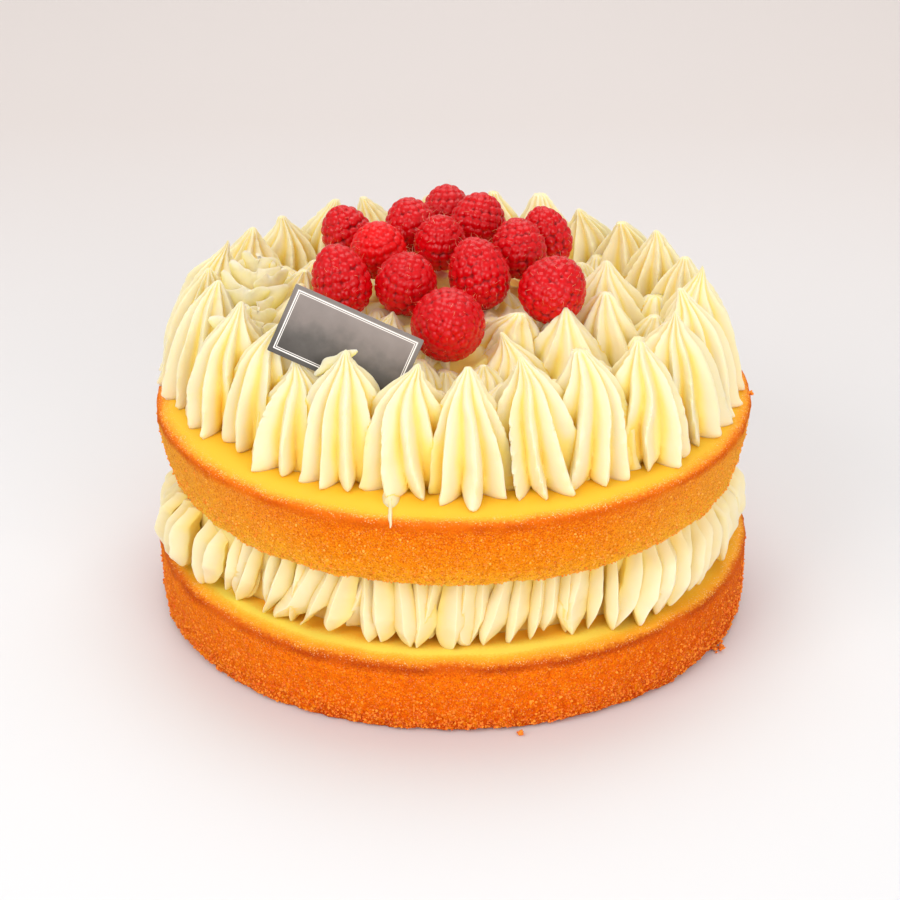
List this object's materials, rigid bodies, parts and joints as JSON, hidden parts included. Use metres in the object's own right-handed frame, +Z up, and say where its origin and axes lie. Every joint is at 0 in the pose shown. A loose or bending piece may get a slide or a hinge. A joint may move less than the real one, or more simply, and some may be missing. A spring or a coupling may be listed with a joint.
{
  "type": "lemon cake",
  "caption": "Round two-layer lemon sponge cake with a piped cream filling, a crown of fluted piped cream, red berries and a small bare card plaque.",
  "frame": {"origin": "centre of the cake's underside, on the floor plane", "axes": "+Z up through the middle of the cake, -Y towards the front with the plaque, +X to the right seen from the front"},
  "size_m": [0.1816, 0.1816, 0.1165],
  "materials": {
    "sponge": "matte baked crumb",
    "cream": "satin piped cream",
    "berry": "satin fruit skin",
    "card": "printed card, satin"
  },
  "bodies": {
    "root": {"sponge_lower": "sponge", "cream_filling": "cream", "sponge_upper": "sponge", "cream_topping": "cream", "plaque": "card", "berry_01": "berry", "berry_02": "berry", "berry_03": "berry", "berry_04": "berry", "berry_05": "berry", "berry_06": "berry", "berry_07": "berry", "berry_08": "berry", "berry_09": "berry", "berry_10": "berry", "berry_11": "berry", "berry_12": "berry", "berry_13": "berry"}
  },
  "joints": []
}
